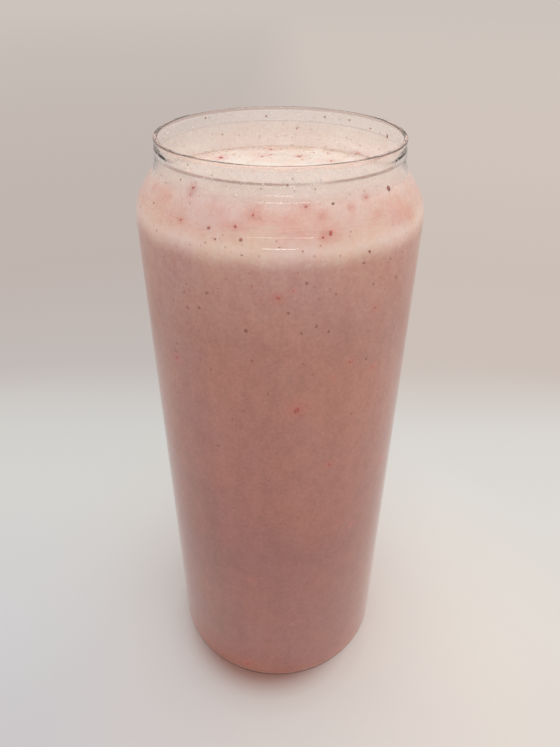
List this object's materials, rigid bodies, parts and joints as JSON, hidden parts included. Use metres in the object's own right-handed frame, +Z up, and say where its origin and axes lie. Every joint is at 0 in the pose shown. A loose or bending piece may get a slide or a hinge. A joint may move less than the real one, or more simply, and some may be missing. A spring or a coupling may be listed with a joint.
{
  "type": "strawberry latte in a clear cup",
  "caption": "Strawberry latte filled into a clear can-shaped plastic cup with a collared mouth and a sloping shoulder.",
  "frame": {"origin": "centre of the cup's base, on the table", "axes": "+Z up along the cup's axis"},
  "size_m": [0.066, 0.066, 0.1614],
  "materials": {
    "clear_plastic": "clear glossy PET",
    "strawberry_milk": "opaque milky liquid with fine fruit specks"
  },
  "bodies": {
    "root": {"cup": "clear_plastic", "latte": "strawberry_milk"}
  },
  "joints": []
}
